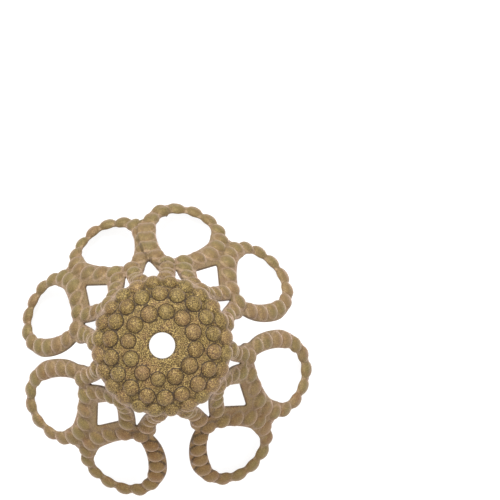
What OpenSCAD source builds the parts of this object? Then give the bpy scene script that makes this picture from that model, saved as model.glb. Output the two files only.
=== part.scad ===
// Filigree bead cap: one stamped sheet of brass, a small pierced bell.
// It stands on the tips of its petals, with the thread hole up, on +Z.
// The outer face has raised round dots, and the inner face a dimple behind each.
// Every shape is first drawn on the outer face of the bell. A lobe angle is
// counted from the middle of a lobe, and a height from the surface it stands on.

/* [Bell] */
// height of the rim, where the crown ends and the open skirt starts
skirt_h = 12.9; // [10:0.1:16]
// radius of the bell at the rim
rim_r = 5.15; // [4:0.05:7]
// radius of the bell at the petal tips
tip_r = 11.3; // [8:0.1:14]
// how late the skirt swings out: over 1, nearer to the tips
flare_late = 1.0; // [0.6:0.02:1.8]
// how far the swing has gone at the tips: at 180 the tips are upright again
flare_end = 144; // [90:1:180]
// height of the crown above the rim
crown_rise = 2.25; // [1:0.1:4]
// how square the crown's shoulder is: 2 is an ellipse
crown_power = 2.3; // [2:0.1:4]
// thickness of the sheet
sheet = 0.35; // [0.25:0.05:0.8]
// diameter of the thread hole in the crown
hole_d = 2.0; // [1:0.1:3]

/* [Dots] */
// radius of the ball that each raised dot is the top of
dot_ball_r = 0.55; // [0.4:0.01:0.8]
// height of a dot above the sheet
dot_rise = 0.36; // [0.1:0.02:0.5]
// radius of the flat-bottomed dimple behind each dot
dimple_r = 0.4; // [0.2:0.02:0.5]
// depth of a dimple in the inner face
dimple_depth = 0.2; // [0.05:0.01:0.3]
// rings of dots on the crown, as [dots, distance from the axis, angle of the first]
RINGS = [
    [12, 2.58, 15],
    [18, 3.98, 5],
    [24, 4.85, 0],
];

/* [Straps] */
// width of the straps that carry the dots
strap_w = 1.3; // [0.8:0.05:2]
// inner strut, as [lobe angle, height] of its start, bend and end
INNER_STRUT = [[0, 12.2], [13.9, 9.55], [18, 7.25]];
// outer strut, as [lobe angle, height] of its start, bend and end
OUTER_STRUT = [[33.4, 12.65], [27.2, 9.9], [27.9, 7.55]];
// dots on an inner strut below the knot that it shares with the other one
inner_dots = 3; // [1:1:6]
// dots on an outer strut
outer_dots = 4; // [1:1:8]

/* [Petals] */
// lobe angle of the middle of a petal
petal_angle = 22.1; // [15:0.1:30]
// height of the middle of a petal
petal_h = 4.15; // [2:0.05:6]
// length of the ring of dots round a petal, from base to tip
petal_len = 8.4; // [6:0.1:11]
// width of that ring
petal_wid = 5.37; // [4:0.05:8]
// how much wider the tip end is than the base end
petal_egg = 0.35; // [0:0.01:0.6]
// how far a petal leans towards the middle of its lobe at the tip
petal_lean = 8.4; // [-5:0.5:15]
// dots round a petal
petal_dots = 16; // [10:1:24]
// upper and lower end of the web that joins a lobe's two petals
WEB = [6.5, 2.2];
// depth of the notch in the web's upper end
web_notch = 0.75; // [0:0.05:1.5]

/* [Lobes] */
// the four lobes, as [angle round the axis, sideways bend of the petals]
LOBES = [
    [45, 5.4],
    [135, -3.8],
    [225, -5.2],
    [315, 4],
];

/* [Hidden] */
brass = "#8f8054";
// the bell is drawn this far below the petal tips, and cut off level
trim = 0.6;
// lower edge of the unbroken band under the crown's outer ring of dots
band_h = skirt_h + 0.25;
// height down to which the petals' sideways bend grows
bend_h = 7.5;
// half the depth that a strap's outline is pressed to
reach = 2;
// turn of each dot about its own axis
seam_turn = 25;
skirt_steps = 8;
crown_steps = 8;
ring_sides = 32;
strut_sides = 6;
$fn = 48;

// Bell: the skirt is upright at the rim, swings out, and is steeper again at the tips.
// share of the skirt's height that lies above a height
function drop(h) = max(0, 1 - h / skirt_h);
function swing(h) = flare_end * pow(drop(h), flare_late);
// radius of the skirt at a height
function skirt_r(h) = rim_r
    + (tip_r - rim_r) * (1 - cos(swing(h))) / (1 - cos(flare_end));
// tilt of the skirt's normal above the level, at a height
function skirt_tilt(h) = drop(h) == 0 ? 0
    : atan((tip_r - rim_r) / skirt_h * sin(swing(h)) / (1 - cos(flare_end))
        * flare_end * PI / 180 * flare_late * pow(drop(h), flare_late - 1));
// height of the crown at a distance from the axis
function crown_h(r) = skirt_h
    + crown_rise * pow(1 - pow(r / rim_r, crown_power), 1 / crown_power);
// tilt of the crown's normal above the level, at a distance from the axis
function crown_tilt(r) = atan2(
    pow((crown_h(r) - skirt_h) / crown_rise, crown_power - 1) / crown_rise,
    pow(r / rim_r, crown_power - 1) / rim_r);

// the outer face in section, as [radius, height, tilt of the normal]
function section() = concat(
    [for (i = [0:skirt_steps]) let (h = -trim + (skirt_h + trim) * i / skirt_steps)
        [skirt_r(h), h, skirt_tilt(h)]],
    [for (i = [1:crown_steps - 1]) let (
            r = rim_r * pow(cos(90 * i / crown_steps), 2 / crown_power))
        [r, crown_h(r), crown_tilt(r)]],
    [[0, skirt_h + crown_rise, 90]]);

// what the outer face encloses, or what is left of that a step inwards
module bell(inwards = 0) {
    side = [for (p = section())
        [p[0] - inwards * cos(p[2]), p[1] - inwards * sin(p[2])]];
    rotate_extrude(convexity = 4) polygon(concat([[0, side[0].y]], side));
}

// Places: the sideways bend grows from the rim to the petals
function bent(a, h, bend) = a + bend * min(1, (skirt_h - h) / (skirt_h - bend_h));
function on_skirt(a, h) = [skirt_r(h) * cos(a), skirt_r(h) * sin(a), h];
// directions at a place: down the skirt, along it, and out of it
function down(a, h) = let (t = skirt_tilt(h)) [cos(a) * sin(t), sin(a) * sin(t), -cos(t)];
function along(a) = [-sin(a), cos(a), 0];
function out(a, h) = let (t = skirt_tilt(h)) [cos(a) * cos(t), sin(a) * cos(t), sin(t)];

// where a point falls in the plane that touches the skirt at f = [angle, height]
function flat(f, p) = let (q = p - on_skirt(f[0], f[1]))
    [q * down(f[0], f[1]), q * along(f[0])];
// a point of that plane, moved square to it until it lies on the skirt
function on_bell(f, p, rise = 0, tries = 10) = let (
        w = on_skirt(f[0], f[1]) + p.x * down(f[0], f[1]) + p.y * along(f[0])
            + rise * out(f[0], f[1]))
    tries == 0 ? w
        : on_bell(f, p, rise - 0.8 * (norm([w.x, w.y]) - skirt_r(w.z)), tries - 1);

// a point of a curve with one bend, given by its start, bend and end
function curve(c, t) = (1 - t) * (1 - t) * c[0] + 2 * t * (1 - t) * c[1] + t * t * c[2];

// children drawn in that plane are pressed through the skirt
module press(f) {
    rotate([0, 0, f[0]]) translate([skirt_r(f[1]), 0, f[1]])
        rotate([0, 90 - skirt_tilt(f[1]), 0])
            linear_extrude(height = 2 * reach, center = true) children();
}

// outline of a strap along a row of points of the plane
module strap(points) {
    last = len(points) - 1;
    side = [for (i = [0:last]) let (
            d = points[min(last, i + 1)] - points[max(0, i - 1)])
        [d.y, -d.x] / norm(d) * strap_w / 2];
    polygon(concat(
        [for (i = [0:last]) points[i] + side[i]],
        [for (i = [last:-1:0]) points[i] - side[i]]));
}

// Petals: a point of the ring of dots, at a turn that is counted from the tip
function petal_point(turn) = let (
        u = petal_len / 2 * cos(turn),
        v = petal_wid / 2 * sin(turn) * (1 + petal_egg * cos(turn)))
    [u * cos(petal_lean) + v * sin(petal_lean),
     v * cos(petal_lean) - u * sin(petal_lean)];
// the way round the ring up to each turn, as [length, turn]
PETAL_WAY = [for (i = 0, s = 0; i <= 90;
        s = s + norm(petal_point(4 * i + 4) - petal_point(4 * i)), i = i + 1)
    [s, 4 * i]];
petal_round = PETAL_WAY[90][0];

// the petal's outline at a distance from the ring of dots
module petal_outline(grow) {
    polygon([for (i = [0:ring_sides - 1]) let (
            turn = 360 * i / ring_sides,
            d = petal_point(turn + 1) - petal_point(turn - 1))
        petal_point(turn) + [d.y, -d.x] / norm(d) * grow]);
}

// Struts: the line of a strut in its lobe, from above the rim down to the petal
function strut_line(strut, side, lobe) = concat(
    [on_skirt(lobe[0] + side * strut[0][0], skirt_h + 0.6)],
    [for (i = [0:strut_sides]) let (p = curve(strut, i / strut_sides))
        on_skirt(lobe[0] + bent(side * p[0], p[1], lobe[1]), p[1])]);

module strut(strut, side, lobe) {
    middle = curve(strut, 0.5);
    f = [lobe[0] + bent(side * middle[0], middle[1], lobe[1]), middle[1]];
    press(f) strap([for (p = strut_line(strut, side, lobe)) flat(f, p)]);
}

// one lobe's straps, pressed right through
module lobe_straps(lobe) {
    for (side = [-1, 1]) {
        strut(INNER_STRUT, side, lobe);
        strut(OUTER_STRUT, side, lobe);
        press([lobe[0] + lobe[1] + side * petal_angle, petal_h])
            mirror([0, side < 0 ? 1 : 0]) difference() {
                petal_outline(strap_w / 2);
                petal_outline(-strap_w / 2);
            }
    }
    f = [lobe[0] + lobe[1], (WEB[0] + WEB[1]) / 2];
    top = flat(f, on_skirt(f[0], WEB[0])).x;
    end = flat(f, on_skirt(f[0], WEB[1])).x;
    press(f) polygon([[top + web_notch, 0], [top, strap_w / 2], [end, strap_w / 2],
        [end, -strap_w / 2], [top, -strap_w / 2]]);
}

// Dots: children at a place of the outer face, with the face's normal as their +Z.
// The last turn keeps the seams of the balls away from the bell's meridians.
module at_place(p, tilt) {
    translate(p) rotate([0, 90 - tilt, atan2(p.y, p.x)]) rotate([0, 0, seam_turn]) children();
}

module at_dots() {
    for (ring = RINGS, i = [0:ring[0] - 1]) {
        a = ring[2] + 360 * i / ring[0];
        at_place([ring[1] * cos(a), ring[1] * sin(a), crown_h(ring[1])],
            crown_tilt(ring[1])) children();
    }
    for (lobe = LOBES) {
        knot = INNER_STRUT[0];
        at_place(on_skirt(lobe[0] + knot[0], knot[1]), skirt_tilt(knot[1])) children();
        for (side = [-1, 1]) {
            for (place = concat(
                    [for (i = [1:inner_dots]) curve(INNER_STRUT, i / (inner_dots + 1))],
                    [for (i = [0:outer_dots - 1]) curve(OUTER_STRUT, i / outer_dots)]))
                at_place(on_skirt(lobe[0] + bent(side * place[0], place[1], lobe[1]),
                    place[1]), skirt_tilt(place[1])) children();
            f = [lobe[0] + lobe[1] + side * petal_angle, petal_h];
            for (i = [0:petal_dots - 1]) {
                q = petal_point(lookup(petal_round * i / petal_dots, PETAL_WAY));
                p = on_bell(f, [q.x, side * q.y]);
                at_place(p, skirt_tilt(p.z)) children();
            }
        }
    }
}

module bead_cap() {
    color(brass) difference() {
        union() {
            intersection() {
                bell();
                union() {
                    translate([0, 0, band_h]) cylinder(r = rim_r + 1, h = crown_rise + 1);
                    for (lobe = LOBES) lobe_straps(lobe);
                }
            }
            at_dots() translate([0, 0, dot_rise - dot_ball_r]) sphere(r = dot_ball_r);
        }
        bell(sheet);
        at_dots() translate([0, 0, -sheet - dimple_depth])
            cylinder(r = dimple_r, h = 2 * dimple_depth);
        cylinder(d = hole_d, h = 2 * skirt_h);
        translate([0, 0, -2]) cylinder(r = tip_r + 3, h = 2);
    }
}

bead_cap();
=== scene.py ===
import itertools
import math
from collections import namedtuple

import bpy
import numpy as np
from mathutils import Matrix, Vector
from mathutils.geometry import delaunay_2d_cdt


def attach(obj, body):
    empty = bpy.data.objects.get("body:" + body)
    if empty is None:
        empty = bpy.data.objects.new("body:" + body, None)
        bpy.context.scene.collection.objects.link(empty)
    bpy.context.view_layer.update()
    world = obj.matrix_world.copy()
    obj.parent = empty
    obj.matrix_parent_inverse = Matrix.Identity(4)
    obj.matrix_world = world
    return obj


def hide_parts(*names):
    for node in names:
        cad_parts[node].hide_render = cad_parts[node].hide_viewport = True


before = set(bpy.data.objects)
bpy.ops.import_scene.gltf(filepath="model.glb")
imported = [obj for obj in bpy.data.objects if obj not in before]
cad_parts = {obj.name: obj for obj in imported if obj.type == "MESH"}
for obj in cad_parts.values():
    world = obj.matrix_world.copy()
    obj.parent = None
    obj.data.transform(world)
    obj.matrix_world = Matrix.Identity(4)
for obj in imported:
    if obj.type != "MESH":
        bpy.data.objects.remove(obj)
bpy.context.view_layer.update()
scene = bpy.context.scene
rng = np.random.default_rng(7)
MM = 0.001
FULL_TURN = 2 * math.pi

# The cap is one pierced sheet. Its outline is drawn on a bell, a surface of revolution, where a place is an
# angle phi in radians and a way s in mm down the section. Points of the sheet are joined to triangles on a
# flat map of the bell, raised by the relief of both faces, and closed by walls.

# Sizes in mm and angles in degrees. The bell, the rings of dots, the petals' shape and the web are those of
# the part's source, and the struts lie up to 1.6 degrees wider apart than there.
SKIRT_H, RIM_R, TIP_R = 12.9, 5.15, 11.3
FLARE_END = math.radians(144)
CROWN_RISE, CROWN_POWER = 2.25, 2.3
SHEET, HOLE_R = 0.35, 1.0
STRAP_W = 1.3
# above this height the sheet is unbroken but for the thread hole
BAND_H = SKIRT_H + 0.25

# rings of dots on the crown, as (count, radius, angle of the first)
RINGS = [(12, 2.58, 15), (18, 3.98, 5), (24, 4.85, 0)]

# middle lines of the struts, as the control points (angle from the lobe's middle, height) of a curve
INNER_STRUT = np.array([[0, 12.2], [15.2, 9.55], [18.5, 7.25]])
OUTER_STRUT = np.array([[34.2, 12.65], [28.8, 9.9], [28.9, 7.55]])
STRUT_POINTS, STRUT_TOP = 17, SKIRT_H + 0.6
# where the dots sit on each strut, as parts of its curve, and how wide they are against the others
STRUT_DOTS = [(INNER_STRUT, (0.25, 0.5, 0.75)), (OUTER_STRUT, (0, 0.25, 0.5, 0.75))]
STRUT_DOT_WIDE = 0.96

# petals, by the place of their planes, then their length, width, egg shape and lean
PETAL_ANGLE, PETAL_H = 22.1, 4.15
PETAL_LEN, PETAL_WID, PETAL_EGG, PETAL_LEAN = 8.4, 5.37, 0.35, math.radians(8.4)
PETAL_DOTS, PETAL_STEPS = 16, 96
# the web between a lobe's petals, by the heights of its ends, with its points and the notch at the top
WEB, WEB_POINTS, WEB_NOTCH = (6.5, 2.2), 5, 0.75

# the lobes, as (angle, sideways bend), and the height where the bend is full
LOBES = [(45, 5.4), (135, -3.8), (225, -5.2), (315, 4)]
BEND_H = 7.5
# how much shorter the two petals of each lobe are at the base
PETAL_TRIM = {45: (0.2, -0.25), 135: (-0.2, 0.25), 225: (-0.15, 0.3), 315: (0.35, 0)}
# how far the side next to the gap is moved out on those petals
PETAL_GAP = {45: (0.06, 0), 135: (0, 0.06), 225: (-0.1, 0.1), 315: (0.04, -0.1)}
# how far the inner struts of each lobe are turned near the crown, and the height that the turn takes
INNER_TURN, INNER_TURN_H = {45: 1.7, 135: -1.2, 225: -0.8, 315: 1.8}, 2.5

# square hole in each lobe, by its corners as (angle from the lobe's middle, height), then its share of the
# lobe's bend, the metal kept round it and how round its corners are
SQUARE = [(0, 10.45), (9.55, 7.95), (0, 5.9), (-9.55, 7.95)]
SQUARE_BEND, SQUARE_RIM, SQUARE_ROUND = 0.77, 0.8, 0.15
# how far from a lobe's middle, and how low, the square's edge counts
SQUARE_REACH, SQUARE_LOW = 30, 3

# the disc that fills the corner between outer strut and petal, as (angle from the lobe's middle, height),
# with its radius, its fillet and the distance within which it counts
GUSSET, GUSSET_R, GUSSET_FILLET, GUSSET_REACH = (31.6, 8.2), 0.4, 0.9, 2

# how far round from its plane's angle each kind of strap reaches, and how high any of them does
STRUT_REACH, PETAL_REACH, WEB_REACH = 40, 55, 20
STRAP_H = SKIRT_H + 1.4
# fillets where straps meet each other and where they meet the crown
FILLET, CROWN_FILLET = 0.12, 0.9
# the tips are cut level a little above the ground
TIP_CUT = 0.02

# Petal straps. Each table goes by the turn round the petal, from its tip at 0 towards the gap between
# lobes: how much wider the strap is on its outer side
PETAL_GROW = [
    (-180, 0), (-120, 0), (-90, -0.2), (-40, -0.22), (0, -0.05), (45, 0), (90, 0.1), (140, 0.08), (180, 0),
]
# how much wider it is on the side of the hole
HOLE_GROW = [(-180, 0), (-90, 0), (-62, 0.16), (-38, 0.03), (-20, 0), (180, 0)]
# how far the dots are from the middle of the strap, outwards
DOT_SHIFT = [
    (-180, 0.12), (-120, 0.24), (-90, 0.14), (-50, -0.08), (0, -0.14), (60, -0.05), (120, 0.02), (180, 0.1),
]
# the width and the height of those dots against the others
DOT_WIDE = [
    (-180, 1.02), (-120, 1.08), (-90, 1.02), (-40, 1.05), (0, 1.07), (45, 1.07), (90, 1.05), (180, 1.02),
]
DOT_HIGH = [(-180, 1), (-120, 1.1), (-70, 0.8), (0, 0.74), (60, 0.82), (110, 1), (180, 1)]
# share of the outer side's table: the way out from the petal's middle, 1 on the ring, by this, less this
OUTSIDE_GAIN, OUTSIDE_START = 4, 3.6
# between these turns, at the tip, the strap narrows on both sides, in full this far inside them
TIP_NARROW, TIP_TURNS, TIP_FADE = 0.1, (-50, 80), 25
# and swells round each dot to a disc of this radius
TIP_BEAD, TIP_BEAD_FILLET = 0.6, 0.15

# how far the tips are bent outwards, as (angle, bend), and the height where the bend starts
TIP_BEND = [
    (9, 0), (28, -0.05), (50, -0.45), (72, 0.15), (86, 0.3), (96, -0.4), (109, -0.25),
    (131, -0.83), (144, -0.38), (153, -0.25), (174, -0.15), (198, 0.05), (220, -0.55), (242, -0.1),
    (253, 0.1), (276, 0.08), (286, 0.2), (297, 0.2), (319, -0.2), (341, 0.2), (354, 0.15),
]
TIP_BEND_H, TIP_BEND_POWER = 5.0, 1.5
# how far the bell swells under the crown, the height of the swell's middle and its reach,
# and the radius within which it fades
SWELL, SWELL_H, SWELL_REACH, SWELL_R = 0.18, 12.4, 1.6, 5

# Relief: dots, and how unevenly they are placed, wide and high
DOT_R, DOT_RISE = 0.64, 0.46
CROWN_DOT_R, CROWN_DOT_RISE = 0.62, 0.4
DOT_JITTER, DOT_SPREAD, DOT_RISE_SPREAD = 0.03, 0.03, 0.04
# a dot's section, a button with a round top and steep sides that starts a little under the sheet's face
DOME_TOP, DOME_SIDE, DOME_SINK = 2.5, 0.55, 0.02
# heights where the tips' own looks are full and where they have ended
TIP_ZONE = [2.5, 5]
# how softly a dot meets the next one, at the tips and above, and how softly it meets the flat sheet
DOT_BLEND, FLAT_BLEND = [0.1, 0.03], 0.025
# dimples behind the dots: depth, radius of the flat bottom, width of the slope and radius for the paint,
# which holds painted light and shade
DIMPLE_DEPTH, DIMPLE_FLAT, DIMPLE_SLOPE, DIMPLE_R = 0.2, 0.2, 0.24, 0.42
# the sheet is thinner at its edges, and thinner still at the tips
EDGE_SHEET, TIP_SHEET, TIP_EDGE_SHEET = 0.2, 0.25, 0.1
# its edges are rounded: depth and width outside, more width at the tips, and width inside
EDGE_DROP, EDGE_ROUND, TIP_ROUND, INNER_ROUND = 0.09, 0.16, 0.1, 0.3
# the inner face's own paint starts two fades from the edges and is full at three
INNER_FADE, INNER_START = 0.1, 2

# the petal that lies over its neighbour, as (lobe, side), how far it stands out, and where it starts to
OVER_PETAL, OVER_RISE, OVER_START, OVER_SLOPE = (45, 1), 0.1, 0.8, 0.6
# the seam along it: its angle, half its span and the fade at the ends in radians, and its top
SEAM_AT, SEAM_SPAN, SEAM_FADE, SEAM_TOP = math.radians(91), 0.25, 0.06, 8.5
# the groove beside the seam: where it starts, how deep it is and how wide
SEAM_EDGE, SEAM_DEPTH, SEAM_WIDTH = 0.03, 0.16, 0.12
# its painted shade in the crease beside the seam: middle, width, and the heights and strengths between which
# it gets darker towards the crown
SEAM_PAINT_AT, SEAM_PAINT_WIDTH = 0.06, 0.06
SEAM_PAINT_H, SEAM_PAINT = [4.5, 6.2], [0.35, 1]

# The bell's section, from a radius inside the thread hole down to a height under the ground
SECTION_R, SECTION_LOW = 0.8, -0.4
CROWN_STEPS, SKIRT_STEPS = 1200, 2000
# above this height a place of the section is found by its radius
BY_RADIUS_H = BAND_H + 0.9
# steps that bring a point of a plane onto the bell, and the part of the way that each step goes
BELL_STEPS, BELL_PULL = 10, 0.8

# Mesh: the grid that the outlines are read from, how far down the section it starts, the spacing of an
# outline's points, and the number of points that it needs at least
GRID, GRID_START = 0.11, 0.02
OUTLINE_SPACING, OUTLINE_LEAST = 0.135, 12
# rows of points inside each outline, as (inset, gap), and how exact an inset has to be
INSETS, INSET_SLACK = [(0.05, 0.045), (0.12, 0.075)], 0.35
# rows along both sides of the seam, by distance from it, with their points, their slack and their gap
SEAM_ROWS, SEAM_POINTS, SEAM_SLACK, SEAM_GAP = (0.02, 0.1, -0.06), 260, 0.03, 0.06
# circles of points round each dot, as (part of its radius, count), and the gap between points
DOT_CIRCLES = [(0, 1), (0.28, 8), (0.52, 13), (0.71, 17), (0.84, 20), (0.93, 22), (1.0, 23), (1.09, 24)]
DOT_GAP = 0.075
# circles with a larger part of the radius than this start half a step further round
HALF_STEP_FROM = 0.5
# rows over the rest of the sheet: start, distance between rows and between points, and gap
ROW_START, ROW_STEP, ROW_SPACING, ROW_GAP = 0.1, 0.125, 0.145, 0.105
# points of dots and seam, and those of the rows, keep this far inside the outlines
DOT_INSIDE, ROW_INSIDE = 0.13, 0.16
# cells in which the points nearby are looked up
SIEVE_CELL = 0.1

# a distance and a squared distance past any neighbour
FAR, FAR_SQUARED = 9.0, 99.0
# the corners at the ends of a triangle's sides
SIDES = ((0, 1), (1, 2), (2, 0))


# The bell, a surface of revolution
def skirt_r(h):
    s = FLARE_END * np.maximum(0, 1 - h / SKIRT_H)
    return RIM_R + (TIP_R - RIM_R) * (1 - np.cos(s)) / (1 - math.cos(FLARE_END))


def skirt_tilt(h):
    s = FLARE_END * np.maximum(0, 1 - h / SKIRT_H)
    return np.arctan((TIP_R - RIM_R) / SKIRT_H * np.sin(s) / (1 - math.cos(FLARE_END)) * FLARE_END)


def crown_h(r):
    return SKIRT_H + CROWN_RISE * (1 - (r / RIM_R) ** CROWN_POWER) ** (1 / CROWN_POWER)


def crown_tilt(r):
    p = CROWN_POWER - 1
    return np.arctan2(((crown_h(r) - SKIRT_H) / CROWN_RISE) ** p / CROWN_RISE,
                      (r / RIM_R) ** p / RIM_R)


def profile():
    """The outer face's section: way down from the hole, radius, height, tilt and log of the map's radius."""
    first = math.acos((SECTION_R / RIM_R) ** (CROWN_POWER / 2))
    crown_r = RIM_R * np.cos(np.linspace(first, 0, CROWN_STEPS, endpoint=False)) ** (2 / CROWN_POWER)
    skirt_z = np.linspace(SKIRT_H, SECTION_LOW, SKIRT_STEPS)
    r = np.concatenate([crown_r, skirt_r(skirt_z)])
    z = np.concatenate([crown_h(crown_r), skirt_z])
    tilt = np.concatenate([crown_tilt(crown_r), skirt_tilt(skirt_z)])
    step = np.hypot(np.diff(r), np.diff(z))
    way = np.concatenate([[0], np.cumsum(step)])
    log_map = np.concatenate([[0], np.cumsum(step * 2 / (r[1:] + r[:-1]))])
    return way, r, z, tilt, log_map


WAY, R_AT, Z_AT, TILT_AT, LOG_AT = profile()


def lift(phi, s, rise=0.0):
    """Points at an angle and a way down the section, rise mm out of the outer face."""
    r, z, t = np.interp(s, WAY, R_AT), np.interp(s, WAY, Z_AT), np.interp(s, WAY, TILT_AT)
    r, z = r + rise * np.cos(t), z + rise * np.sin(t)
    return np.stack([r * np.cos(phi), r * np.sin(phi), z], axis=-1)


def way_of(p):
    """Angle and way down the section of a point of the outer face."""
    r, z = np.hypot(p[..., 0], p[..., 1]), p[..., 2]
    by_height = np.interp(-z, -Z_AT, WAY)
    by_radius = np.interp(r, R_AT[:CROWN_STEPS], WAY[:CROWN_STEPS])
    return np.arctan2(p[..., 1], p[..., 0]), np.where(z > BY_RADIUS_H, by_radius, by_height)


def on_skirt(a, h):
    r = float(skirt_r(h))
    return np.array([r * math.cos(math.radians(a)), r * math.sin(math.radians(a)), h])


def turn_between(phi, a):
    """How far angles in radians are from one angle, either way round."""
    return np.abs((phi - a + math.pi) % FULL_TURN - math.pi)


class Plane:
    """The plane that touches the skirt at an angle and a height."""

    def __init__(self, a, h):
        t, self.a = float(skirt_tilt(h)), math.radians(a)
        c, s = math.cos(self.a), math.sin(self.a)
        self.origin = on_skirt(a, h)
        self.down = np.array([c * math.sin(t), s * math.sin(t), -math.cos(t)])
        self.along = np.array([-s, c, 0])
        self.out = np.array([c * math.cos(t), s * math.cos(t), math.sin(t)])

    def flat(self, p):
        """Places in the plane, down and along, of points in space."""
        q = p - self.origin
        return np.stack([q @ self.down, q @ self.along], axis=-1)

    def on_bell(self, x, y):
        """The point of the skirt that lies over a place in the plane."""
        w = self.origin + x * self.down + y * self.along
        for _ in range(BELL_STEPS):
            w = w - BELL_PULL * (math.hypot(w[0], w[1]) - float(skirt_r(w[2]))) * self.out
        return w


# Straps and dots. A strap is a middle line in a plane. A petal's also has a side, -1 or 1, and beads, the
# places of the dots round its tip. The web's has square ends.
Strap = namedtuple("Strap", "plane line reach side ends beads", defaults=(0, None, None))
Dot = namedtuple("Dot", "place angle wide high")
STRAPS = []
DOTS = []
GUSSETS = []
SQUARES = []


def look_up(table, at):
    """Value at a place by a table of (place, value), straight between its rows."""
    return np.interp(at, *zip(*table))


def curve(c, t):
    return (1 - t) ** 2 * c[0] + 2 * t * (1 - t) * c[1] + t * t * c[2]


def bent(a, h, bend):
    return a + bend * min(1, (SKIRT_H - h) / (SKIRT_H - BEND_H))


def strut_angle(strut, lobe, side, a, h, bend):
    """Angle of a place on a lobe's strut, from its angle and height in the table."""
    angle = lobe + bent(side * a, h, bend)
    if strut is INNER_STRUT:
        angle += INNER_TURN[lobe] * min(1, (h - strut[2][1]) / INNER_TURN_H)
    return angle


def petal_point(turn, trim, gap):
    """Place in its plane of a point of a petal's middle line, which starts at the tip."""
    u = PETAL_LEN / 2 * np.cos(turn) + trim * (1 - np.cos(turn)) / 2
    v = PETAL_WID / 2 * np.sin(turn) * (1 + PETAL_EGG * np.cos(turn))
    v = v + gap * np.maximum(np.sin(turn), 0) ** 2
    c, s = math.cos(PETAL_LEAN), math.sin(PETAL_LEAN)
    return u * c + v * s, v * c - u * s


def petal_ring(trim, gap):
    """Points of a petal's ring, and the turns of its dots."""
    turns = np.linspace(0, FULL_TURN, PETAL_STEPS + 1)
    x, y = petal_point(turns, trim, gap)
    way = np.concatenate([[0], np.cumsum(np.hypot(np.diff(x), np.diff(y)))])
    return x, y, np.interp(way[-1] * np.arange(PETAL_DOTS) / PETAL_DOTS, way, turns)


def add_dot(p, wide=1.0, high=1.0):
    """A dot at a place of the bell, moved a little sideways."""
    a, r = math.atan2(p[1], p[0]), math.hypot(p[0], p[1])
    a += rng.normal(0, DOT_JITTER) / r
    DOTS.append(Dot(np.array([r * math.cos(a), r * math.sin(a), p[2]]), a, wide, high))


def add_strut(strut, lobe, bend, side, dots):
    middle = curve(strut, 0.5)
    plane = Plane(lobe + bent(side * middle[0], middle[1], bend), middle[1])
    line = [on_skirt(strut_angle(strut, lobe, side, strut[0][0], STRUT_TOP, 0), STRUT_TOP)]
    for t in np.linspace(0, 1, STRUT_POINTS):
        a, h = curve(strut, t)
        line.append(on_skirt(strut_angle(strut, lobe, side, a, h, bend), h))
    STRAPS.append(Strap(plane, plane.flat(np.array(line)), STRUT_REACH))
    for t in dots:
        a, h = curve(strut, t)
        add_dot(on_skirt(strut_angle(strut, lobe, side, a, h, bend), h), STRUT_DOT_WIDE)


def add_petal(lobe, bend, side):
    plane = Plane(lobe + bend + side * PETAL_ANGLE, PETAL_H)
    trim, gap = PETAL_TRIM[lobe][side > 0], PETAL_GAP[lobe][side > 0]
    ring_x, ring_y, dot_turns = petal_ring(trim, gap)
    beads = []
    for turn in dot_turns:
        x, y = petal_point(turn, trim, gap)
        at = math.degrees(math.atan2(y, x))
        shift = 1 + look_up(DOT_SHIFT, at) / math.hypot(x, y)
        add_dot(plane.on_bell(x * shift, side * y * shift), look_up(DOT_WIDE, at), look_up(DOT_HIGH, at))
        if TIP_TURNS[0] < at < TIP_TURNS[1]:
            beads.append(plane.flat(DOTS[-1].place))
    line = np.stack([ring_x, side * ring_y], axis=1)
    STRAPS.append(Strap(plane, line, PETAL_REACH, side, beads=np.array(beads)))
    GUSSETS.append(on_skirt(lobe + bend + side * GUSSET[0], GUSSET[1]))
    return STRAPS[-1]


def add_web(lobe, bend):
    plane = Plane(lobe + bend, sum(WEB) / 2)
    line = plane.flat(np.array([on_skirt(lobe + bend, h) for h in np.linspace(*WEB, WEB_POINTS)]))
    STRAPS.append(Strap(plane, line, WEB_REACH, ends=(line[0, 0], line[-1, 0])))


def add_square(lobe, bend):
    """The square hole of a lobe, as a plane with a corner and the outward direction of each side."""
    middle = lobe + SQUARE_BEND * bend
    plane = Plane(middle, sum(h for a, h in SQUARE) / len(SQUARE))
    corners = plane.flat(np.array([on_skirt(middle + a, h) for a, h in SQUARE]))
    ahead = np.roll(corners, -1, axis=0) - corners
    out = np.stack([ahead[:, 1], -ahead[:, 0]], axis=1) / np.linalg.norm(ahead, axis=1)[:, None]
    if (out[0] @ (corners[0] - corners.mean(axis=0))) < 0:
        out = -out
    SQUARES.append((plane, corners, out))


for ring_count, ring_r, ring_first in RINGS:
    for i in range(ring_count):
        ring_a = math.radians(ring_first + 360 * i / ring_count)
        add_dot(np.array([ring_r * math.cos(ring_a), ring_r * math.sin(ring_a), float(crown_h(ring_r))]))
CROWN_DOTS = len(DOTS)

petals = {}
for lobe, bend in LOBES:
    knot_h = INNER_STRUT[0][1]
    add_dot(on_skirt(strut_angle(INNER_STRUT, lobe, 0, 0, knot_h, 0), knot_h))
    for side in (-1, 1):
        for strut, strut_dots in STRUT_DOTS:
            add_strut(strut, lobe, bend, side, strut_dots)
        petals[lobe, side] = add_petal(lobe, bend, side)
    add_web(lobe, bend)
    add_square(lobe, bend)
OVER = petals[OVER_PETAL]


# Distance from the sheet's outline
def smooth_min(a, b, k):
    h = np.maximum(k - np.abs(a - b), 0) / k
    return np.minimum(a, b) - h * h * k / 4


def smooth_max(a, b, k):
    return -smooth_min(-a, -b, k)


def line_distance(q, line):
    """Distance of points of a plane from a line of several stretches."""
    best = np.full(len(q), FAR_SQUARED)
    for a, b in zip(line[:-1], line[1:]):
        e, w = b - a, q - a
        t = np.clip(w @ e / (e @ e), 0, 1)
        best = np.minimum(best, ((w - t[:, None] * e) ** 2).sum(axis=1))
    return np.sqrt(best)


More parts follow.
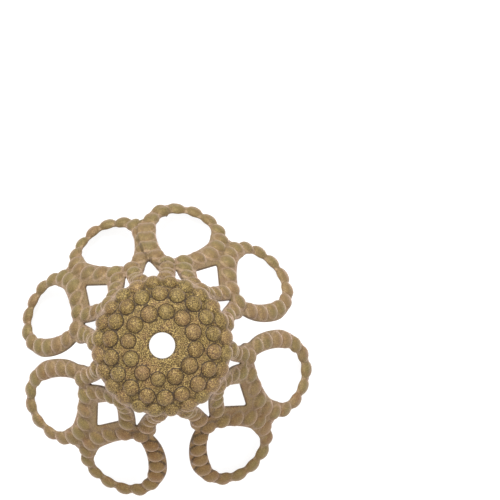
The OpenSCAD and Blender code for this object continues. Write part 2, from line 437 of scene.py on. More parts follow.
def petal_edge(far, q, strap):
    """Distances from a petal's strap, which its tables make wider or narrower and its beads swell."""
    turn = np.degrees(np.arctan2(strap.side * q[:, 1], q[:, 0]))
    ring_turn = np.degrees(np.arctan2(strap.side * strap.line[:-1, 1], strap.line[:-1, 0]))
    ring = np.interp(turn, ring_turn, np.hypot(*strap.line[:-1].T), period=360)
    outside = np.clip(np.hypot(*q.T) / ring * OUTSIDE_GAIN - OUTSIDE_START, 0, 1)
    far = far - look_up(PETAL_GROW, turn) * outside
    far = far - look_up(HOLE_GROW, turn) * (1 - outside)
    tip = np.minimum(turn - TIP_TURNS[0], TIP_TURNS[1] - turn) / TIP_FADE
    far = far + TIP_NARROW * np.clip(tip, 0, 1)
    bead = np.sqrt(((q[:, None] - strap.beads) ** 2).sum(axis=2).min(axis=1)) - TIP_BEAD
    return smooth_min(far, bead, TIP_BEAD_FILLET)


def web_edge(far, q, ends):
    """Distances from the web, with its square ends and the notch between the petals."""
    notch = ends[0] + WEB_NOTCH - np.abs(q[:, 1]) * 2 * WEB_NOTCH / STRAP_W
    return np.maximum(far, np.maximum(notch - q[:, 0], q[:, 0] - ends[1]))


def square_edge(q, corners, out):
    """Distances from a square hole with rounded corners, negative in the hole."""
    far = ((q[:, None] - corners) * out).sum(axis=2)
    first = smooth_max(far[:, 0], far[:, 1], SQUARE_ROUND)
    second = smooth_max(far[:, 2], far[:, 3], SQUARE_ROUND)
    return smooth_max(first, second, SQUARE_ROUND)


def edge(phi, s):
    """How far a place of the outer face is outside the sheet, negative inside it."""
    p = lift(phi, s)
    height = p[:, 2]
    d = np.full(len(p), FAR)
    for strap in STRAPS:
        within = turn_between(phi, strap.plane.a) < math.radians(strap.reach)
        near = np.nonzero(within & (height < STRAP_H))[0]
        if len(near):
            q = strap.plane.flat(p[near])
            far = line_distance(q, strap.line) - STRAP_W / 2
            if strap.side:
                far = petal_edge(far, q, strap)
            elif strap.ends:
                far = web_edge(far, q, strap.ends)
            d[near] = smooth_min(d[near], far, FILLET)
    for middle in GUSSETS:
        far = np.linalg.norm(p - middle, axis=1) - GUSSET_R
        near = far < GUSSET_REACH
        d[near] = smooth_min(d[near], far[near], GUSSET_FILLET)
    d = smooth_min(d, BAND_H - height, CROWN_FILLET)
    for plane, corners, out in SQUARES:
        within = turn_between(phi, plane.a) < math.radians(SQUARE_REACH)
        near = np.nonzero(within & (height < SKIRT_H) & (height > SQUARE_LOW))[0]
        if len(near):
            far = square_edge(plane.flat(p[near]), corners, out)
            d[near] = np.maximum(smooth_min(d[near], far - SQUARE_RIM, FILLET), -far)
    hole = HOLE_R - np.hypot(p[:, 0], p[:, 1])
    return np.maximum(np.maximum(d, hole), TIP_CUT - height)


def slope(phi, s):
    """Value of edge() and its slope per mm along the two directions, with the radius."""
    eps = 0.01
    r = np.interp(s, WAY, R_AT)
    f = edge(phi, s)
    fa = (edge(phi + eps / r, s) - edge(phi - eps / r, s)) / (2 * eps)
    fs = (edge(phi, s + eps) - edge(phi, s - eps)) / (2 * eps)
    return f, fa, fs, r


def onto_outline(phi, s, times=3, least_square=0.2):
    """Moves places to where edge() is zero."""
    for _ in range(times):
        f, fa, fs, r = slope(phi, s)
        g = -f / np.maximum(fa * fa + fs * fs, least_square)
        phi, s = phi + g * fa / r, s + g * fs
    return phi, s


def over_seam(phi, s):
    """Distance from the outer edge of the petal that lies over its neighbour, positive on the neighbour."""
    return line_distance(OVER.plane.flat(lift(phi, s)), OVER.line) - STRAP_W / 2


# Outlines of the sheet
def outlines():
    """Closed rows of places where edge() changes sign, from a fine grid on the bell."""
    n_a = int(FULL_TURN * TIP_R / GRID / 2) * 2
    n_s = int((WAY[-1] - GRID_START) / GRID)
    aa = np.arange(n_a) * FULL_TURN / n_a
    ss = np.linspace(GRID_START, WAY[-1], n_s)
    val = edge(np.repeat(aa, n_s), np.tile(ss, n_a))
    # no corner of the grid lies right on the outline
    val[val == 0] = 1e-6
    ids = np.arange(n_a * n_s).reshape(n_a, n_s)
    nxt = np.roll(ids, -1, axis=0)
    v00, v10, v01, v11 = ids[:, :-1], nxt[:, :-1], ids[:, 1:], nxt[:, 1:]
    tris = np.concatenate([np.stack([v00, v10, v11], -1).reshape(-1, 3),
                           np.stack([v00, v11, v01], -1).reshape(-1, 3)])
    inside = val[tris] < 0
    crossed = inside.any(axis=1) & ~inside.all(axis=1)
    links = {}
    for tri, sign in zip(tris[crossed], inside[crossed]):
        cut = []
        for i, j in SIDES:
            if sign[i] != sign[j]:
                cut.append(tuple(sorted((int(tri[i]), int(tri[j])))))
        links.setdefault(cut[0], []).append(cut[1])
        links.setdefault(cut[1], []).append(cut[0])

    def place(cut):
        a, b = cut
        t = val[a] / (val[a] - val[b])
        pa, pb = aa[a // n_s], aa[b // n_s]
        if abs(pb - pa) > math.pi:
            pb += math.copysign(FULL_TURN, pa - pb)
        return pa + t * (pb - pa), ss[a % n_s] + t * (ss[b % n_s] - ss[a % n_s])

    loops, seen = [], set()
    for start in links:
        if start in seen:
            continue
        loop, at, before = [], start, None
        while at not in seen:
            seen.add(at)
            loop.append(place(at))
            ahead = [c for c in links[at] if c != before]
            before, at = at, ahead[0]
        loops.append(np.array(loop))
    return loops


def even_loop(loop, spacing, least=8):
    """A closed row of places, evenly spaced and moved onto the outline."""
    phi, s = np.unwrap(loop[:, 0]), loop[:, 1]
    turn = round((phi[-1] - phi[0]) / FULL_TURN)
    phi, s = np.append(phi, phi[0] + FULL_TURN * turn), np.append(s, s[0])
    p = lift(phi, s)
    way = np.concatenate([[0], np.cumsum(np.linalg.norm(np.diff(p, axis=0), axis=1))])
    n = max(least, int(round(way[-1] / spacing)))
    at = way[-1] * np.arange(n) / n
    return onto_outline(np.interp(at, way, phi), np.interp(at, way, s))


# Points of the sheet
class Places:
    """Places of the sheet in the order that they are added, each no nearer than a gap to those before."""

    def __init__(self):
        self.phis, self.ways, self.bins = [], [], {}

    def is_free(self, p, cell, gap):
        reach = math.ceil(gap / SIEVE_CELL)
        for dx, dy, dz in itertools.product(range(-reach, reach + 1), repeat=3):
            for q in self.bins.get((cell[0] + dx, cell[1] + dy, cell[2] + dz), ()):
                if (q[0] - p[0]) ** 2 + (q[1] - p[1]) ** 2 + (q[2] - p[2]) ** 2 < gap * gap:
                    return False
        return True

    def add(self, phi, s, gap=0.0):
        kept = []
        for i, p in enumerate(lift(phi, s).tolist()):
            cell = tuple(int(v // SIEVE_CELL) for v in p)
            if self.is_free(p, cell, gap):
                self.bins.setdefault(cell, []).append(p)
                kept.append(i)
        self.phis.append(phi[kept])
        self.ways.append(s[kept])


def add_outlines(places):
    """Adds the outlines, and gives the closed rows of their points' numbers and of their places."""
    rows, bounds = [], []
    total = 0
    for loop in outlines():
        phi, s = even_loop(loop, OUTLINE_SPACING)
        if len(phi) >= OUTLINE_LEAST:
            places.add(phi, s)
            rows.append(np.arange(total, total + len(phi)))
            total += len(phi)
            bounds.append((phi, s))
    return rows, bounds


def add_insets(places, bounds, least_slope=0.3):
    """Adds rows of points just inside each outline."""
    for inset, gap in INSETS:
        for phi, s in bounds:
            _, fa, fs, r = slope(phi, s)
            steep = np.maximum(np.hypot(fa, fs), least_slope)
            a, w = phi - inset * fa / steep / r, s - inset * fs / steep
            good = np.abs(edge(a, w) + inset) < INSET_SLACK * inset
            places.add(a[good], w[good], gap)


def add_seam_rows(places):
    """Adds rows of points along both sides of the seam."""
    line = OVER.line
    along = np.gradient(line, axis=0)
    across = np.stack([along[:, 1], -along[:, 0]], axis=1) / np.linalg.norm(along, axis=1)[:, None]
    t = np.linspace(0, len(line) - 1, SEAM_POINTS)
    for off, sign in itertools.product(SEAM_ROWS, (1, -1)):
        row = line + sign * across * (STRAP_W / 2 + off)
        row = np.stack([np.interp(t, np.arange(len(line)), row[:, i]) for i in (0, 1)], axis=1)
        a, w = way_of(np.array([OVER.plane.on_bell(x, y) for x, y in row]))
        good = (edge(a, w) < -DOT_INSIDE) & (np.abs(a - SEAM_AT) < SEAM_SPAN)
        good &= np.abs(over_seam(a, w) - off) < SEAM_SLACK
        places.add(a[good], w[good], SEAM_GAP)


def add_dot_circles(places):
    """Adds circles of points round each dot, so that the domes come out round."""
    dot_ways = way_of(np.array([dot.place for dot in DOTS]))[1]
    a, w = [], []
    for part, count in DOT_CIRCLES:
        t = FULL_TURN * (np.arange(count) + 0.5 * (part > HALF_STEP_FROM)) / count
        for i, (dot, s) in enumerate(zip(DOTS, dot_ways)):
            radius = part * (CROWN_DOT_R if i < CROWN_DOTS else DOT_R) * dot.wide
            a.append(dot.angle + radius * np.sin(t) / np.interp(s, WAY, R_AT))
            w.append(s + radius * np.cos(t))
    a, w = np.concatenate(a), np.concatenate(w)
    good = edge(a, w) < -DOT_INSIDE
    places.add(a[good], w[good], DOT_GAP)


def add_rows(places):
    """Adds level rows of points over the rest of the sheet."""
    a, w = [], []
    for i, s in enumerate(np.arange(ROW_START, WAY[-1], ROW_STEP)):
        n = int(FULL_TURN * np.interp(s, WAY, R_AT) / ROW_SPACING)
        a.append((np.arange(n) + 0.5 * (i % 2)) * FULL_TURN / n)
        w.append(np.full(n, s))
    a, w = np.concatenate(a), np.concatenate(w)
    good = edge(a, w) < -ROW_INSIDE
    places.add(a[good], w[good], ROW_GAP)


def sheet_points():
    """Places of the sheet's points, and the closed rows that bound it."""
    places = Places()
    rows, bounds = add_outlines(places)
    add_insets(places, bounds)
    add_seam_rows(places)
    add_dot_circles(places)
    add_rows(places)
    return np.concatenate(places.phis), np.concatenate(places.ways), rows


# Triangles of the sheet
def groups_of(faces, walls):
    """The group of each triangle: triangles that meet at an edge are one group, apart from walls."""
    by_edge = {}
    for f, tri in enumerate(faces):
        for i, j in SIDES:
            side = frozenset((int(tri[i]), int(tri[j])))
            if side not in walls:
                by_edge.setdefault(side, []).append(f)
    parent = list(range(len(faces)))

    def root(i):
        while parent[i] != i:
            parent[i] = parent[parent[i]]
            i = parent[i]
        return i

    for pair in by_edge.values():
        if len(pair) == 2:
            parent[root(pair[0])] = root(pair[1])
    return np.array([root(i) for i in range(len(faces))])


def triangulate(phi, way, rows):
    """Angles and ways of the sheet's corners, and its triangles, made on a flat map that keeps angles."""
    radius = np.exp(np.interp(way, WAY, LOG_AT))
    flat_points = [Vector((x, y)) for x, y in zip(radius * np.cos(phi), radius * np.sin(phi))]
    bound_edges = [(int(a), int(b)) for row in rows for a, b in zip(row, np.roll(row, -1))]
    whole_hull, epsilon = 0, 1e-9
    cdt = delaunay_2d_cdt(flat_points, bound_edges, [], whole_hull, epsilon)
    flat, faces, origins = np.array([tuple(v) for v in cdt[0]]), np.array(cdt[2]), cdt[3]
    index = np.array([o[0] if o else -1 for o in origins])
    back = {int(o): i for i, o in enumerate(index)}
    walls = {frozenset((back[a], back[b])) for a, b in bound_edges}

    # the triangles between the outlines hang together, so each group is sheet or hole as a whole
    corner = flat[faces]
    cross = np.cross(corner[:, 1] - corner[:, 0], corner[:, 2] - corner[:, 0])
    middle = corner.mean(axis=1)
    middle_way = np.interp(np.log(np.maximum(np.hypot(*middle.T), 1e-9)), LOG_AT, WAY)
    depth = edge(np.arctan2(middle[:, 1], middle[:, 0]), middle_way) * np.abs(cross)
    group = groups_of(faces, walls)
    keep = np.bincount(group, weights=depth)[group] < 0
    faces, turned = faces[keep], cross[keep] < 0
    faces[turned] = faces[turned][:, ::-1]
    used = np.unique(faces)
    renumber = np.full(len(flat), -1)
    renumber[used] = np.arange(len(used))
    return phi[index][used], way[index][used], renumber[faces]


phi, way, faces = triangulate(*sheet_points())
count = len(phi)


# Relief, as the rise of the outer and the inner face out of the bell
def dome(r, radius, height):
    return height * np.maximum(1 - (r / radius) ** DOME_TOP, 0) ** DOME_SIDE - DOME_SINK


def rounding(depth, width):
    """How far a rounded edge has fallen, from 1 at the very edge to 0 at its width."""
    t = np.clip(depth / width, 0, 1)
    return 1 - np.sqrt(1 - (1 - t) ** 2)


def nearest_dots(points):
    """Number of the dot nearest to each point, and the distances of that dot and of the next one."""
    nearest = np.zeros(len(points), dtype=int)
    first, second = np.full(len(points), FAR), np.full(len(points), FAR)
    for i, dot in enumerate(DOTS):
        d = np.linalg.norm(points - dot.place, axis=1)
        closer = d < first
        second = np.where(closer, first, np.minimum(second, d))
        first = np.where(closer, d, first)
        nearest[closer] = i
    return nearest, first, second


face_points = lift(phi, way)
face_h = face_points[:, 2]
inside = np.maximum(0, -edge(phi, way))
tipness = np.interp(face_h, TIP_ZONE, [1, 0])
near_dot, dot_far, next_far = nearest_dots(face_points)
uneven_size = 1 + rng.normal(0, DOT_SPREAD, len(DOTS))
uneven_rise = 1 + rng.normal(0, DOT_RISE_SPREAD, len(DOTS))
dot_tint = rng.uniform(0, 1, len(DOTS))

on_crown = near_dot < CROWN_DOTS
dot_r = np.where(on_crown, CROWN_DOT_R, DOT_R) * np.array([dot.wide for dot in DOTS])[near_dot]
dot_rise = np.where(on_crown, CROWN_DOT_RISE, DOT_RISE) * np.array([dot.high for dot in DOTS])[near_dot]
own = dome(dot_far / uneven_size[near_dot], dot_r, dot_rise) * uneven_rise[near_dot]
other = dome(next_far, dot_r, dot_rise)
relief = smooth_max(own, other, np.interp(face_h, TIP_ZONE, DOT_BLEND))
relief = smooth_max(relief, np.zeros(count), FLAT_BLEND)
# at the tips the dots fall with the rounded edge
outer = relief - (EDGE_DROP + tipness * relief) * rounding(inside, EDGE_ROUND + TIP_ROUND * tipness)

seam = over_seam(phi, way)
near_seam = np.clip((SEAM_SPAN - turn_between(phi, SEAM_AT)) / SEAM_FADE, 0, 1) * (face_h < SEAM_TOP)
step_up = OVER_RISE * np.clip((seam + OVER_START) / OVER_SLOPE, 0, 1)
groove = -SEAM_DEPTH * np.exp(-seam / SEAM_WIDTH)
outer = outer + near_seam * np.where(seam < SEAM_EDGE, step_up, groove)

sheet = SHEET + tipness * (TIP_SHEET - SHEET)
thin = sheet - EDGE_SHEET - tipness * (TIP_EDGE_SHEET - EDGE_SHEET)
t = np.clip((dot_far - DIMPLE_FLAT) / DIMPLE_SLOPE, 0, 1)
dimple = DIMPLE_DEPTH * (1 - t * t * (3 - 2 * t))
inner = thin * rounding(inside, INNER_ROUND) + dimple - sheet


# The closed mesh: outer face, inner face and the walls between them
def shaped(verts):
    """The points kept above the ground, with the tips bent and the bell swollen under the crown."""
    verts[:, 2] = np.maximum(verts[:, 2], 0)
    bend_at, bend_by = zip(*TIP_BEND)
    tip = np.interp(np.arctan2(verts[:, 1], verts[:, 0]), np.radians(bend_at), bend_by, period=FULL_TURN)
    tip *= np.maximum(0, 1 - verts[:, 2] / TIP_BEND_H) ** TIP_BEND_POWER
    swell = SWELL * np.exp(-((verts[:, 2] - SWELL_H) / SWELL_REACH) ** 2)
    swell *= np.minimum(1, np.hypot(*verts.T[:2]) / SWELL_R) ** 6
    verts[:, :2] *= 1 + ((tip + swell) / np.hypot(verts[:, 0], verts[:, 1]))[:, None]
    return verts


def rim_edges(faces):
    """Edges that only one triangle has, in that triangle's direction."""
    edges = dict.fromkeys((int(tri[i]), int(tri[j])) for tri in faces for i, j in SIDES)
    return [(a, b) for a, b in edges if (b, a) not in edges]


verts = shaped(np.concatenate([lift(phi, way, outer), lift(phi, way, inner)]))
all_faces = [tuple(map(int, f)) for f in faces]
all_faces += [tuple(int(i) + count for i in f[::-1]) for f in faces]
all_faces += [(b, a, a + count, b + count) for a, b in rim_edges(faces)]
mesh = bpy.data.meshes.new("bead_cap_sheet")
mesh.from_pydata([tuple(v) for v in verts * MM], [], all_faces)
mesh.validate()
mesh.update()
mesh.shade_smooth()
cap = bpy.data.objects.new("filigree_sheet", mesh)
scene.collection.objects.link(cap)


def attribute(name, values):
    """A number for each point of the mesh, which the material reads."""
    layer = mesh.attributes.new(name, "FLOAT", "POINT")
    layer.data.foreach_set("value", np.asarray(values, dtype=np.float32))


# the way out from the nearest dot's middle, in its radii
attribute("dot_way", np.concatenate([dot_far / uneven_size[near_dot] / dot_r, dot_far / DIMPLE_R]))
attribute("dot_tint", np.tile(dot_tint[near_dot], 2))
# painted shade along the crease where the petal lies over its neighbour
seam_shade_paint = near_seam * np.interp(face_h, SEAM_PAINT_H, SEAM_PAINT)
seam_shade_paint = seam_shade_paint * np.exp(-((seam - SEAM_PAINT_AT) / SEAM_PAINT_WIDTH) ** 2)
attribute("seam", np.tile(seam_shade_paint, 2))
attribute("inner_face", np.concatenate([np.zeros(count), np.clip(inside / INNER_FADE - INNER_START, 0, 1)]))
attribute("rim", np.tile(np.clip(1 - inside / EDGE_ROUND, 0, 1), 2))

# Antique brass. Colours are linear red, green and blue, and places and heights are in metres.
TAN, OLIVE, RUST = (0.21, 0.145, 0.066), (0.163, 0.117, 0.036), (0.178, 0.088, 0.035)
GOLD, CROWN_OLIVE = (0.108, 0.064, 0.008), (0.144, 0.084, 0.019)
MOSS, CLAY, CLOUD_SHADE = (0.165, 0.128, 0.036), (0.215, 0.125, 0.06), (0.8, 0.78, 0.72)
DARK, PALE = (0.018, 0.008, 0.002), (0.4, 0.29, 0.09)
# painted sheen for the pale arcs at the dots' feet, and painted shade for the dark grooves between them
PAINTED_SHEEN_PINK, PAINTED_GROOVE_SHADE, BROWN = (0.34, 0.235, 0.155), (0.03, 0.012, 0.003), (0.165, 0.07, 0.008)
# painted light for the dimples' middles and painted shade for their edges
KHAKI, PAINTED_DIMPLE_LIGHT, PAINTED_DIMPLE_SHADE = (0.2, 0.145, 0.055), (0.4, 0.3, 0.15), (0.07, 0.048, 0.018)
SHEEN, SHEEN_ROUGH, SHEEN_TINT = 0.65, 0.35, (1.0, 0.74, 0.64)
METALLIC, ROUGH_LEAST, ROUGH_RANGE = 0.35, 0.45, 0.25
# Ranges of the paint, each from none to full. By height: the crown, the upper half, the rings of painted
# shade on the crown, the dark walls and the painted shade on the edge of the thread hole
CROWN_H, UPPER_H, SHADE_RINGS_H = (0.0122, 0.014), (0.005, 0.01), (0.0137, 0.0145)
WALLS_H, HOLE_SHADE_H = (0.003, 0.008), (0.0145, 0.0148)
# by the way out from a dot's middle, in its radii: its top, the whole dot, and both sides of the foot round
# it and of the painted shade ring on the crown; in a dimple its painted light and both sides of its painted
# shade edge
CREST, WHOLE_DOT = (1.02, 0.55), (1.1, 0.85)
FOOT, FOOT_END, SHADE_RING, SHADE_RING_END = (0.91, 0.97), (1.17, 1.1), (0.93, 0.98), (1.11, 1.05)
DENT_PAINTED_LIGHT, DENT_SHADE_RING, DENT_SHADE_RING_END = (0.8, 0.45), (0.55, 0.8), (1.25, 1.0)
# by the nearness to an edge, 1 right on it: the walls and the painted shade at the thread hole
WALLS_RIM, HOLE_SHADE_RIM = (0.75, 1.0), (0.3, 0.6)
# by a dot's tint: the mossy ones and the clay ones
MOSSY, CLAYEY = (0.45, 0.0), (0.55, 1.0)
# by a noise: clouds, rust spots, dark and pale grain, and dark grain in the dimples
CLOUDY, SPOTTED = (0.35, 0.68), (0.45, 0.65)
GRAIN_DARK, GRAIN_PALE, DENT_GRAIN = (0.5, 0.6), (0.48, 0.38), (0.5, 0.62)
# how strong each paint is; those that grow are given as (gain, start)
CREST_PAINT, TINT_PAINT, CROWN_RUST, BROWN_PAINT = 0.85, 0.5, 0.2, 0.55
RUST_PAINT, FOOT_SHEEN_AND_SHADE, SHADE_RING_PAINT = (0.35, 0.5), (0.4, 0.4), (0.72, 0.16)
WALL_PAINT, SEAM_SHADE, DENT_DARK = 0.7, 0.85, 0.35
UPPER_GRAIN, CROWN_GRAIN, CREST_GRAIN_LOSS = (0.15, 0.25), 0.45, 0.15
# the browner patch beside the open gap, with the distances where it ends and is full,
# and the places along Y between which the rust grows
BROWN_AT, BROWN_REACH, SOUTH = (0, -0.008, 0.005), (0.0085, 0.003), (0.002, -0.007)
# scale, detail and roughness of the noises
CLOUDS, RUST_SPOTS, GRAIN = (420, 4, 0.6), (900, 3, 0.6), (13000, 2, 0.7)
GRAIN_BUMP, GRAIN_HEIGHT = 0.7, 0.00004


class Nodes:
    """The node tree of a new material, with short calls for the nodes used here."""

    # sockets of a colour mix node
    FACTOR, FIRST, SECOND, RESULT = 0, 6, 7, 2

    def __init__(self, name):
        self.material = bpy.data.materials.new(name)
        self.material.use_nodes = True
        self.tree = self.material.node_tree
        self.tree.nodes.clear()
        self.place = self.node("ShaderNodeTexCoord").outputs["Object"]

    def node(self, kind, **values):
        n = self.tree.nodes.new(kind)
        for key, value in values.items():
            if key in n.inputs:
                n.inputs[key].default_value = value
            else:
                setattr(n, key, value)
        return n

    def link(self, a, b):
        self.tree.links.new(a, b)

    def feed(self, socket, value):
        """Links a socket to another, or gives it a number or a colour."""
        if isinstance(value, bpy.types.NodeSocket):
            self.link(value, socket)
        elif isinstance(value, tuple):
            socket.default_value = value + (1,)
        else:
            socket.default_value = value

    def mix(self, factor, a, b, kind="MIX"):
        n = self.node("ShaderNodeMix", data_type="RGBA", blend_type=kind)
        self.feed(n.inputs[self.FACTOR], factor)
        self.feed(n.inputs[self.FIRST], a)
        self.feed(n.inputs[self.SECOND], b)
        return n.outputs[self.RESULT]

    def calculate(self, kind, a, b):
        n = self.node("ShaderNodeMath", operation=kind)
        self.feed(n.inputs[0], a)
        self.feed(n.inputs[1], b)
        return n.outputs[0]

    def times(self, first, *others):
        for value in others:
            first = self.calculate("MULTIPLY", first, value)
        return first

    def line(self, value, gain, start):
        """A value times a gain, plus a start."""
        return self.calculate("ADD", self.times(value, gain), start)

    def ramp(self, value, low, high):
        """0 where a value is at low, 1 where it is at high, and straight between."""
        n = self.node("ShaderNodeMapRange", clamp=True)
        n.inputs["From Min"].default_value = low
        n.inputs["From Max"].default_value = high
        self.link(value, n.inputs["Value"])
        return n.outputs[0]

    def attribute(self, name):
        return self.node("ShaderNodeAttribute", attribute_name=name).outputs["Fac"]

    def noise(self, scale, detail, rough):
        n = self.node("ShaderNodeTexNoise", Scale=scale, Detail=detail, Roughness=rough)
        self.link(self.place, n.inputs["Vector"])
        return n.outputs["Fac"]

    def distance(self, place):
        n = self.node("ShaderNodeVectorMath", operation="DISTANCE")
        self.link(self.place, n.inputs[0])
        n.inputs[1].default_value = place
        return n.outputs["Value"]


def outer_paint(n, grain, dot_way):
    """Colour of the outer face: olive dots on tan metal, with rust, tarnish and sandy grain, and painted
    sheen and painted shade round the dots, at the thread hole and in the seam.
    """
    split = n.node("ShaderNodeSeparateXYZ")
    n.link(n.place, split.inputs[0])
    height = split.outputs["Z"]
    crown, upper = n.ramp(height, *CROWN_H), n.ramp(height, *UPPER_H)
    south = n.ramp(split.outputs["Y"], *SOUTH)
    browned = n.ramp(n.distance(BROWN_AT), *BROWN_REACH)

    # metal and the tops of the dots, with clouds
    crest = n.ramp(dot_way, *CREST)
    base = n.mix(n.times(crest, CREST_PAINT), n.mix(crown, TAN, GOLD), n.mix(crown, OLIVE, CROWN_OLIVE))
    cloud = n.ramp(n.noise(*CLOUDS), *CLOUDY)
    base = n.mix(cloud, base, n.mix(1.0, base, CLOUD_SHADE, "MULTIPLY"))

    # rust, a slight tint of each dot, and the brown patch
    spots = n.ramp(n.noise(*RUST_SPOTS), *SPOTTED)
    base = n.mix(n.times(spots, n.line(south, *RUST_PAINT)), base, RUST)
    tint, on_dot = n.attribute("dot_tint"), n.ramp(dot_way, *WHOLE_DOT)
    base = n.mix(n.times(n.ramp(tint, *MOSSY), on_dot, TINT_PAINT), base, MOSS)
    base = n.mix(n.times(n.ramp(tint, *CLAYEY), on_dot, TINT_PAINT), base, CLAY)
    base = n.mix(n.times(crown, south, CROWN_RUST), base, RUST)
    base = n.mix(n.times(browned, BROWN_PAINT), base, BROWN)

    # painted light and shade at the foot of each dot below the crown: a pale arc of painted sheen, and on
    # the brown patch a dark groove of painted shade
    foot_sheen_and_shade = n.times(n.ramp(dot_way, *FOOT), n.ramp(dot_way, *FOOT_END))
    below = n.calculate("SUBTRACT", 1.0, crown)
    amount = n.line(n.calculate("MAXIMUM", upper, browned), *FOOT_SHEEN_AND_SHADE)
    base = n.mix(n.times(foot_sheen_and_shade, below, amount), base, n.mix(browned, PAINTED_SHEEN_PINK, PAINTED_GROOVE_SHADE))

    # dark walls, which fade towards the tips, painted shade on the edge of the thread hole and painted shade
    # in the seam's crease
    rim = n.attribute("rim")
    wall = n.times(n.ramp(rim, *WALLS_RIM), n.ramp(height, *WALLS_H))
    hole = n.times(n.ramp(rim, *HOLE_SHADE_RIM), n.ramp(height, *HOLE_SHADE_H))
    base = n.mix(n.times(n.calculate("MAXIMUM", wall, hole), WALL_PAINT), base, DARK)
    base = n.mix(n.times(n.attribute("seam"), SEAM_SHADE), base, DARK)

    # dark and pale grain, strongest on the crown and weaker on the tops of the dots
    amount = n.calculate("ADD", n.times(crown, CROWN_GRAIN), n.line(upper, *UPPER_GRAIN))
    amount = n.times(amount, n.calculate("SUBTRACT", 1.0, n.times(crest, CREST_GRAIN_LOSS)))
    base = n.mix(n.times(n.ramp(grain, *GRAIN_DARK), amount), base, DARK)
    base = n.mix(n.times(n.ramp(grain, *GRAIN_PALE), amount), base, PALE)

    # painted shade: dark rings round the crown's dots where they meet the sheet, faint on the outer ring
    ring = n.times(n.ramp(dot_way, *SHADE_RING), n.ramp(dot_way, *SHADE_RING_END))
    amount = n.line(n.ramp(height, *SHADE_RINGS_H), *SHADE_RING_PAINT)
    return n.mix(n.times(ring, crown, amount), base, DARK)


def inner_paint(n, grain, dot_way):
    """Colour of the inner face: painted light in the middle of each dimple and painted shade round its edge,
    on khaki metal.
    """
    base = n.mix(n.ramp(dot_way, *DENT_PAINTED_LIGHT), KHAKI, PAINTED_DIMPLE_LIGHT)
    ring = n.times(n.ramp(dot_way, *DENT_SHADE_RING), n.ramp(dot_way, *DENT_SHADE_RING_END))
    base = n.mix(ring, base, PAINTED_DIMPLE_SHADE)
    return n.mix(n.times(n.ramp(grain, *DENT_GRAIN), DENT_DARK), base, DARK)


def brass_material():
    n = Nodes("antique_brass")
    out = n.node("ShaderNodeOutputMaterial")
    bsdf = n.node("ShaderNodeBsdfPrincipled")
    n.link(bsdf.outputs[0], out.inputs[0])
    grain, dot_way = n.noise(*GRAIN), n.attribute("dot_way")
    base = n.mix(n.attribute("inner_face"), outer_paint(n, grain, dot_way), inner_paint(n, grain, dot_way))
    n.link(base, bsdf.inputs["Base Color"])
    bsdf.inputs["Metallic"].default_value = METALLIC
    bsdf.inputs["Sheen Weight"].default_value = SHEEN
    bsdf.inputs["Sheen Roughness"].default_value = SHEEN_ROUGH
    bsdf.inputs["Sheen Tint"].default_value = SHEEN_TINT + (1,)
    n.link(n.line(grain, ROUGH_RANGE, ROUGH_LEAST), bsdf.inputs["Roughness"])
    bump = n.node("ShaderNodeBump", Strength=GRAIN_BUMP, Distance=GRAIN_HEIGHT)
    n.link(grain, bump.inputs["Height"])
    n.link(bump.outputs[0], bsdf.inputs["Normal"])
    return n.material


mesh.materials.append(brass_material())
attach(cap, "root")
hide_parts("bead_cap")

# Floor, light and camera, in metres
FLOOR_HALF, FLOOR_DROP = 1, 0.00002
FLOOR_GREY, FLOOR_GLOW, FLOOR_ROUGH = (0.25, 0.25, 0.25, 1), 0.85, 0.9
WHITE = (1, 1, 1, 1)
# lights, as (name, place, diameter, power)
LIGHTS = [("key", (-0.035, 0.21, 0.3), 0.16, 1.42), ("fill", (0.1, -0.17, 0.25), 0.2, 0.38)]
# the photograph's width and scale, and how far the part is turned in it
PICTURE_PX, PX_PER_MM = 500, 13
TWIST = math.radians(8.25)
# how far the view leans from straight down, as slopes, and how far its middle is from the cap's axis
LEAN_RIGHT, LEAN_UP = 0.0059, -0.03537
AIM_RIGHT, AIM_UP = 0.006698, 0.007699
CAP_MIDDLE, CAMERA_FAR = Vector((0, 0, 0.005)), 1.0
SENSOR_MM, CLIP = 36, (0.1, 5)


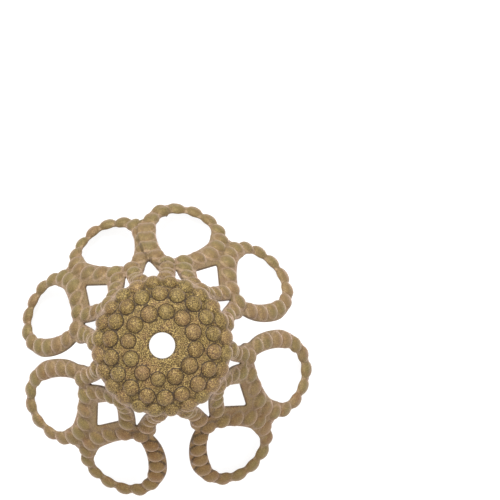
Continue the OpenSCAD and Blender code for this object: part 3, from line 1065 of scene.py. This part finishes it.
def pale_floor():
    corners = [(-1, -1), (1, -1), (1, 1), (-1, 1)]
    floor_mesh = bpy.data.meshes.new("floor")
    floor_mesh.from_pydata([(x * FLOOR_HALF, y * FLOOR_HALF, 0) for x, y in corners], [], [(0, 1, 2, 3)])
    floor = bpy.data.objects.new("floor", floor_mesh)
    floor.location.z = -FLOOR_DROP
    scene.collection.objects.link(floor)
    material = bpy.data.materials.new("pale_floor")
    material.use_nodes = True
    sockets = material.node_tree.nodes["Principled BSDF"].inputs
    sockets["Base Color"].default_value = FLOOR_GREY
    sockets["Roughness"].default_value = FLOOR_ROUGH
    sockets["Emission Color"].default_value = WHITE
    sockets["Emission Strength"].default_value = FLOOR_GLOW
    floor_mesh.materials.append(material)
    return floor


def soft_light(name, place, size, power):
    data = bpy.data.lights.new(name, "AREA")
    data.shape, data.size, data.energy = "DISK", size, power
    lamp = bpy.data.objects.new(name, data)
    lamp.location = place
    lamp.rotation_euler = (-Vector(place)).to_track_quat("-Z", "Y").to_euler()
    scene.collection.objects.link(lamp)


def photo_camera():
    """The camera of the photograph, which looks down on the crown."""
    right = Vector((math.cos(TWIST), -math.sin(TWIST), 0))
    up = Vector((math.sin(TWIST), math.cos(TWIST), 0))
    seen_from = (LEAN_RIGHT * right + LEAN_UP * up + Vector((0, 0, 1))).normalized()
    target = AIM_RIGHT * right + AIM_UP * up + CAP_MIDDLE
    eye = CAP_MIDDLE + CAMERA_FAR * seen_from
    data = bpy.data.cameras.new("camera")
    data.sensor_width = SENSOR_MM
    data.lens = SENSOR_MM * (eye - target).length / (PICTURE_PX / PX_PER_MM * MM)
    data.clip_start, data.clip_end = CLIP
    camera = bpy.data.objects.new("camera", data)
    scene.collection.objects.link(camera)
    look = (eye - target).normalized()
    side = up.cross(look).normalized()
    top = look.cross(side)
    camera.matrix_world = Matrix((
        (side.x, top.x, look.x, eye.x),
        (side.y, top.y, look.y, eye.y),
        (side.z, top.z, look.z, eye.z),
        (0, 0, 0, 1)))
    return camera


floor = pale_floor()
world = bpy.data.worlds.new("studio")
world.use_nodes = True
world.node_tree.nodes["Background"].inputs["Color"].default_value = WHITE
world.node_tree.nodes["Background"].inputs["Strength"].default_value = 1.0
scene.world = world
scene.view_settings.view_transform = "Standard"
for light in LIGHTS:
    soft_light(*light)
scene.camera = photo_camera()
